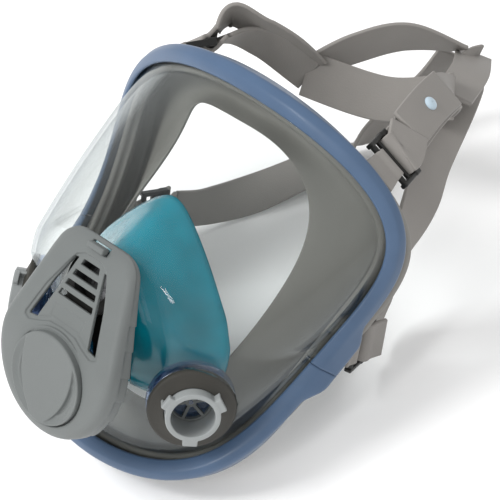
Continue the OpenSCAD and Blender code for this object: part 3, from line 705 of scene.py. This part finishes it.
def cover_field(x, y, z):
    out = outline_field(x, z)
    front = cover_front(x, z)
    back = COVER_DEPTH - 61.5 - 0.1 * (z + 60)
    depth = (y - front) / (back - front)
    saw = np.mod((-z - 6) / 13.5, 1)
    notch = 1.0 * saw * smooth_step(0.45, 0.6, depth) * smooth_step(-3, -12, z) * smooth_step(-92, -84, z)
    side = out + 1.4 * (1 - depth) - 0.4 - notch * 0.9 + 0.9 * smooth_step(0.45, 0.6, depth)
    ax = np.abs(x)
    panel = polygon_field(ax, z, PANEL + [(-1, -38), (-1, 1.2)]) - 1.6
    recess = 1.1 * smooth_step(0.3, -0.5, panel)
    line = 0.45 * np.exp(-((panel + 2.2) / 0.45) ** 2) * smooth_step(8, 12, ax)
    plate = np.maximum(ax - 12.0, np.abs(z + 33.4) - 3.7)
    recess = recess + 0.45 * smooth_step(0.25, -0.25, plate) + line
    skin = front + recess
    shell = smax(side, skin - y, 5.5)
    hollow = smax(side + COVER_WALL, front + COVER_WALL + 1.2 - y, 4)
    body = smax(smax(shell, -hollow, 0.4), y - back, 0.8)
    for half, mid in SLOTS:
        trapezoid = np.maximum(ax - half + 0.28 * (z - mid), np.abs(z - mid) - 1.75)
        body = smax(body, -np.maximum(trapezoid, y + 50), 0.5)
    side_slot = polygon_field(ax, z, SIDE_SLOT)
    body = smax(body, -np.maximum(side_slot, y + 50), 0.5)
    cx, cy, cz = cap_coordinates(x, y, z)
    radius = np.hypot(cx, cy)
    body = smax(body, -np.maximum(radius - CAP_RADIUS - 0.55, np.abs(cz - 6) - 9), 0.5)
    ledge = np.maximum(np.maximum(radius - CAP_RADIUS - 2.2, 23.3 - radius), np.abs(cz + 4.4) - 1.4)
    body = np.minimum(body, ledge)
    pocket = np.maximum(np.abs(x) - 6.9, np.abs(z - 8.5) - 2.2)
    return smax(body, -np.maximum(pocket, y + 50), 0.4)


def cap_coordinates(x, y, z):
    """Mask coordinates seen from the round cap: across, up its face and out of it."""
    t = deg(CAP_TILT)
    dy, dz = y - CAP_AT[1], z - CAP_AT[2]
    return x, dz * np.cos(t) - dy * np.sin(t), -dy * np.cos(t) - dz * np.sin(t)


def cap_field(x, y, z):
    r = np.hypot(x, y)
    dish = 1.0 - 0.5 * (1 - (r / CAP_RADIUS) ** 2)
    for side in (-1, 1):
        grip = np.hypot(x + 25 * side, y - 8) - 44.3
        fade = np.clip(1 - (r / (CAP_RADIUS - 0.8)) ** 5, 0, 1)
        dish = dish - 2.6 * smooth_step(0, 0.8, grip) * fade * smooth_step(0, 1, x * side)
    disc = smax(r - CAP_RADIUS + 0.15, np.maximum(z - dish, -4.2 - z), 0.9)
    skirt = np.maximum(np.maximum(r - 23.1, 20.7 - r), np.abs(z + 3) - 2.5)
    return np.minimum(disc, skirt)


def latch_field(x, y, z):
    tongue = box(x, y, z, (0, 0, 0), (6.3, 2.6, 1.7), 1.0)
    return smin(tongue, box(x, y, z, (0, 2.6, 0), (5.6, 2.0, 1.2), 0.6), 0.8)


def build_cover():
    cover = field_object("cover", cover_field, (-47, -66, -104), (47, -38, 18), 0.55, GRAY)
    own(cover, "cover", "gray_plastic", "front_cover")
    cap = field_object("cap", cap_field, (-28, -28, -7), (28, 28, 3), 0.5, GRAY, place=CAP)
    own(cap, "cap", "gray_plastic", "round_cap")
    seat = basis([0, -58.2, 8.5], [1, 0, 0], [0, 1, 0])
    latch = field_object("latch", latch_field, (-8, -4, -3), (8, 6, 3), 0.35, GRAY, place=seat)
    own(latch, "latch", "gray_plastic", "cover_latch")


# ------------------------------------------------------------------ inlets
def tube_field(x, y, z):
    r = np.hypot(x, y)
    bore = np.where(z < -8.6, 12.8, 12.0)
    wall = np.maximum(r - 15.0, bore - r)
    body = smax(wall, np.abs(z + 6) - 13, 0.6)
    for a in (18, 138, 258):
        c, s = math.cos(deg(a)), math.sin(deg(a))
        u, v = x * c + y * s, -x * s + y * c
        lug = box(u, v, z, (15.5, 0, 5.2), (2.6, 4.0, 1.7), 0.5)
        stop = box(u, v, z, (15.5, 3.2, 2.4), (2.4, 0.9, 3.4), 0.4)
        body = smin(smin(body, lug, 0.6), stop, 0.4)
    return body


def build_inlets():
    gasket = [(15.2, -5), (23.6, -5), (24.3, -4.4), (24.35, -2.6), (24.0, -1.7), (23.4, -1.2), (21.8, -1.1),
              (20.2, -0.8), (18.0, -0.1), (16.0, 0.8), (15.2, 1.0)]
    nut = [(15.1, -17.6), (20.4, -17.6), (21, -17.0), (21, -14.8), (20.4, -14.2), (15.1, -14.2)]
    for side, place in (("left", INLET), ("right", mirrored(INLET))):
        tube = field_object(f"tube_{side}", tube_field, (-19, -19, -20), (19, 19, 9), 0.45, TUBE, place=place)
        own(tube, "facepiece", "gray_plastic", f"inlet_tube_{side}")
        own(lathe(f"gasket_{side}", rounded(gasket, 1), place, GASKET), "facepiece", "gasket_rubber",
            f"inlet_gasket_{side}")
        own(lathe(f"nut_{side}", nut, place, VIOLET, steps=96), "facepiece", "violet_clear",
            f"inlet_nut_{side}")


# ------------------------------------------------------------------ buckles and tabs
TEMPLE = (np.array([81, 45.3, 104.6]), unit([0.757, 0.486, -0.432]), unit([-0.35, 0.82, 0.45]))
NECK = (np.array([88, 80, -3.0]), unit([0, 0.35, -0.94]), unit([-0.25, 0.91, 0.34]))


def buckle_field(x, y, z):
    bar = rod(y, z, x, 1.8, 15.0, 0.3)
    rails = box(np.abs(x), y, z, (14.2, 7.2, 0), (1.3, 9.6, 2.2), 0.7)
    middle = box(x, y, z, (0, 6.2, 0), (14.6, 1.2, 1.2), 0.6)
    front = box(x, y, z, (0, 14.2, 0), (15.5, 2.9, 2.6), 0.9)
    grip = 0.25 * np.cos(x * 2.2) * smooth_step(1.6, 2.2, z)
    return np.minimum(bar, smin(smin(rails, middle, 0.8), front + grip * 0.4, 0.9))


def tab_field(reach):
    def field(x, y, z):
        barrel = rod(y, z, x, 3.4, 9.0, 0.6)
        plate = box(x, y, z, (0, -reach / 2 - 0.5, 0), (9 + 0.12 * np.abs(y), reach / 2, 1.4), 0.7)
        return smin(barrel, plate, 1.6)
    return field


def build_corners():
    for name, corner, reach in (("temple", TEMPLE, 15.0), ("neck", NECK, 6.4)):
        place = basis(*corner)
        for side, mirror in (("left", False), ("right", True)):
            node = f"{name}_buckle_{side}"
            obj = field_object(f"buckle_{name}_{side}", buckle_field, (-17, -5, -4), (17, 19, 4),
                               0.4, BLACK, place=place, mirror=mirror)
            own(obj, node, "black_plastic", node)
            tab = field_object(f"tab_{name}_{side}", tab_field(reach), (-13, -reach - 2, -4.5),
                               (13, 4.5, 4.5), 0.45, STRAP, place=place, mirror=mirror)
            own(tab, "facepiece", "harness_rubber", f"{name}_tab_{side}")


# ------------------------------------------------------------------ harness
WIDTH, THICK = 25.0, 2.6
TEMPLE_WIDE = [0.76, 0.49, -0.43]
BANDS = {        # points, width directions, width
    "left_arm": ([[72, 66, 118], [64, 87, 133], [56, 112, 146], [46, 138, 142]],
                 [TEMPLE_WIDE, TEMPLE_WIDE, [0.75, 0.5, -0.4], [0.3, 0.3, -0.9]], WIDTH),
    "right_arm": ([[-74, 67, 118], [-72, 80, 123], [-65, 92, 124], [-55, 104, 122], [-42, 122, 117]],
                  [[-0.76, 0.49, -0.43], [-0.6, 0.5, -0.5], [-0.4, 0.5, -0.7], [-0.3, 0.4, -0.8],
                   [-0.2, 0.2, -0.95]],
                  WIDTH),
    "crown_bar": ([[-44, 120, 116], [0, 142, 121], [46, 138, 142]],
                  [[0, 0, -1], [0, -0.2, -1], [0.1, 0.1, -1]], 28),
    "left_bar": ([[46, 138, 142], [30, 172, 156], [8, 205, 163]],
                 [[0.8, 0.5, 0], [0.8, 0.5, 0], [0.9, 0.4, 0]], 24),
    "right_bar": ([[-44, 124, 121], [-30, 138, 141], [-14, 158, 158], [4, 192, 163]],
                  [[-0.2, 0.75, -0.6], [0, 0.75, -0.65], [-0.1, 0.75, -0.6], [-0.7, 0.7, -0.3]], 24),
    "left_neck": ([[10, 206, 160], [35, 165, 135], [55, 131, 104], [72, 108, 84], [80, 94, 58], [76, 102, 30],
                   [76, 108, 13], [82.4, 100.5, 5]],
                  [[-0.5, 0.8, 0.2], [0.5, 0.8, 0.2], [0.5, 0.8, 0], [0.3, 0.9, 0], [0, 0.9, 0],
                   [0, 0.9, 0.3], [0, 0.8, -0.6], [0, 0.35, -0.94]], WIDTH),
    "right_neck": ([[-4, 204, 158], [-18, 208, 130], [-36, 190, 80], [-60, 155, 35], [-76, 125, 12],
                    [-82.4, 100.5, 5]],
                   [[-0.5, -0.8, -0.2], [-0.3, -0.8, -0.4], [-0.2, -0.6, -0.7], [0, -0.5, -0.8],
                    [0, -0.1, -0.95], [0, 0.35, -0.94]], WIDTH),
    "left_tail": ([[72, 65, 124], [64, 87, 138], [57, 109, 148]],
                  [TEMPLE_WIDE, TEMPLE_WIDE, [0.75, 0.5, -0.4]], WIDTH),
    "right_tail": ([[-76, 64, 122], [-73, 69, 134], [-62, 86, 132], [-52, 105, 128], [-45, 124, 121]],
                   [[-0.5, 0.6, -0.5], [-0.3, 0.8, -0.55], [-0.2, 0.8, -0.55], [-0.2, 0.8, -0.55],
                    [-0.2, 0.8, -0.55]], WIDTH),
}

# a wrap's middle line in its buckle's frame: along the strap, out from the head
WRAP_PATH = [(16.0, -4.2), (11.0, -3.4), (9.4, 0.0), (11.0, 3.8), (16.0, 4.6)]


def ribbon_loops(points, wide, width, per_span=14, thick=THICK):
    n = len(points) - 1
    u = np.linspace(0, n, n * per_span + 1)
    p = spline(points, u)
    d = unit(spline(points, np.minimum(u + 0.02, n)) - spline(points, np.maximum(u - 0.02, 0)))
    raw = spline(wide, u)
    side = unit(raw - (raw * d).sum(-1, keepdims=True) * d)
    out = np.cross(d, side)
    half, h = width / 2, thick / 2
    corners = []
    for a in np.linspace(0, 2 * np.pi, 32, endpoint=False):
        cx, cz = math.cos(a), math.sin(a)
        across = np.sign(cx) * (half - h) + h * cx if abs(cx) > 0.2 else cx / 0.2 * (half - h)
        corners.append(side * across + out * (h * np.clip(cz * 1.25, -1, 1)))
    return np.stack([p + c for c in corners], 1)


def joined(name, parts):
    """The parts as one piece."""
    if len(parts) == 1:
        parts[0].name = name
        return parts[0]
    bpy.ops.object.select_all(action="DESELECT")
    for part in parts:
        part.select_set(True)
    bpy.context.view_layer.objects.active = parts[0]
    bpy.ops.object.join()
    parts[0].name = name
    return parts[0]


def band_piece(name, *bands):
    parts = [loft(f"{name}_{band}", ribbon_loops(*BANDS[band]), STRAP) for band in bands]
    return joined(name, parts)


def strap_wrap(name, place, mirror, ends):
    """Rubber that comes from under the buckle's front bar, round it and back along the top."""
    across = place[:, 0]
    middle = [placed(place, [0, y, z]) for y, z in WRAP_PATH]
    wide = [across] * len(middle)
    if mirror:
        middle = [flipped(p) for p in middle]
        wide = [flipped(w) for w in wide]
    points = [ends[0][0]] + middle + [ends[1][0]]
    wide = [ends[0][1]] + wide + [ends[1][1]]
    wide = [np.asarray(w) * (1 if np.dot(w, wide[1]) > 0 else -1) for w in wide]
    return loft(name, ribbon_loops(points, wide, WIDTH, per_span=10), STRAP)


def build_harness():
    crown = band_piece("crown", "crown_bar", "left_bar", "right_bar")
    own(crown, "harness", "harness_rubber", "harness")
    # corner, side, bands, the band's point at the buckle, spans that bend
    plan = [("temple", "left", ("left_arm", "left_tail"), 0, 1),
            ("temple", "right", ("right_arm", "right_tail"), 0, 1),
            ("neck", "left", ("left_neck",), -1, 3),
            ("neck", "right", ("right_neck",), -1, 2)]
    for corner, side, bands, near, spans in plan:
        mirror = side == "right"
        place = basis(*(TEMPLE if corner == "temple" else NECK))
        points, wide, _ = BANDS[bands[0]]
        start = np.asarray(points[near], float)
        strap = band_piece(f"strap_{corner}_{side}", *bands)
        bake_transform(strap)
        under = (points[near], wide[near])
        if len(bands) == 2:
            over = (BANDS[bands[1]][0][0], BANDS[bands[1]][1][0])
        else:
            outward = place[:, 2] * ([-1, 1, 1] if mirror else [1, 1, 1])
            over = (start + 7.5 * outward, wide[near])
        wrap = strap_wrap(f"wrap_{corner}_{side}", place, mirror, (under, over))
        bar = placed(place, [0, WRAP_PATH[0][0], 0])
        bar = flipped(bar) if mirror else bar
        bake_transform(wrap)


def stud_place(band, u, sign):
    points, wide, _ = BANDS[band]
    p = spline(points, np.array(u))
    d = unit(spline(points, np.array(u + 0.02)) - spline(points, np.array(u - 0.02)))
    side = spline(wide, np.array(u)) * sign
    m = basis(p, side - (side @ d) * d, d)
    m[:, 3] = p + m[:, 2] * (THICK / 2 + 0.1)
    return m


def build_studs():
    profile = [(0.001, -0.4), (4.0, -0.4), (4.2, 0.1), (3.9, 0.9), (3.0, 1.6), (1.6, 2.0), (0.001, 2.1)]
    for k, (band, u, sign) in enumerate((("left_tail", 1.0, 1), ("right_tail", 2.0, -1))):
        nodes = ("strap_studs",) if k == 0 else ()
        stud = lathe(f"stud_{k}", rounded(profile, 1), stud_place(band, u, sign), PALE, steps=64)
        own(stud, "harness", "blue_plastic", *nodes)


# ------------------------------------------------------------------ hard CAD pieces that stay
def dress_cad():
    for node, obj in frame["nodes"].items():
        slot = next(s["material_slot"] for s in frame["record"]["subparts"] if s["node"] == node)
        obj.data.materials.clear()
        obj.data.materials.append(MATERIAL_OF_SLOT[slot])
        bevel = obj.modifiers.new("soft_edges", "BEVEL")
        bevel.width = 0.0003
        bevel.segments = 2
        bevel.limit_method = "ANGLE"


# ------------------------------------------------------------------ stage, light and camera
CAMERA_AT = (609.477, -826.187, 259.883)
CAMERA_RIGHT = (0.7124, 0.5864, 0.3855)
CAMERA_DOWN = (0.4402, 0.0545, -0.8963)
CAMERA_BACK = (0.5466, -0.8082, 0.2193)


def area_light(name, at, towards, size, power, colour=(1, 1, 1), mirrored_in_lens=False):
    data = bpy.data.lights.new(name, "AREA")
    data.shape = "RECTANGLE"
    data.size, data.size_y = size
    data.energy = power
    data.color = colour
    obj = bpy.data.objects.new(name, data)
    obj.location = at
    obj.rotation_euler = (Vector(towards) - Vector(at)).to_track_quat("-Z", "Y").to_euler()
    obj.visible_glossy = mirrored_in_lens
    bpy.context.scene.collection.objects.link(obj)
    return obj


def build_stage():
    bpy.ops.mesh.primitive_plane_add(size=30, location=(0, 0, -0.0005))
    floor = bpy.context.object
    floor.name = "floor"
    floor.data.materials.append(finish("floor_white", (0.93, 0.93, 0.93), 0.7, mottle=0.0))
    world = bpy.data.worlds.new("studio")
    bpy.context.scene.world = world
    world.use_nodes = True
    nodes, links = world.node_tree.nodes, world.node_tree.links
    seen_by = nodes.new("ShaderNodeLightPath")
    level = nodes.new("ShaderNodeMapRange")
    level.inputs["To Min"].default_value = 0.62
    level.inputs["To Max"].default_value = 1.0
    nodes["Background"].inputs["Color"].default_value = (1, 1, 1, 1)
    links.new(seen_by.outputs["Is Camera Ray"], level.inputs["Value"])
    links.new(level.outputs["Result"], nodes["Background"].inputs["Strength"])
    area_light("key", (-0.8, -0.9, 1.6), (0, 0, 0.08), (0.8, 0.8), 32)
    area_light("fill", (1.4, -1.0, 1.1), (0, 0, 0.08), (0.9, 0.9), 7)
    area_light("back", (0.3, 1.5, 1.2), (0, 0.05, 0.1), (1.2, 0.6), 7)
    area_light("window", (0.2, -1.4, 1.3), (0, 0, 0.08), (0.16, 0.7), 6, mirrored_in_lens=True)
    bpy.context.scene.view_settings.view_transform = "Standard"


def build_camera():
    data = bpy.data.cameras.new("view")
    data.sensor_fit = "HORIZONTAL"
    data.sensor_width = 36
    data.lens = 1904.09 / 500 * 36
    data.clip_start = 0.01
    cam = bpy.data.objects.new("view", data)
    axes = [turn_row(CAMERA_RIGHT), -turn_row(CAMERA_DOWN), turn_row(CAMERA_BACK)]
    m = Matrix.Identity(4)
    for k, a in enumerate(axes):
        for i in range(3):
            m[i][k] = a[i]
    at = to_row(np.array(CAMERA_AT))
    for i in range(3):
        m[i][3] = at[i]
    cam.matrix_world = m
    bpy.context.scene.collection.objects.link(cam)
    bpy.context.scene.camera = cam


dress_cad()
build_frame()
build_lens()
build_seal()
build_nosecup()
build_cover()
build_inlets()
build_corners()
build_harness()
build_studs()
build_stage()
build_camera()
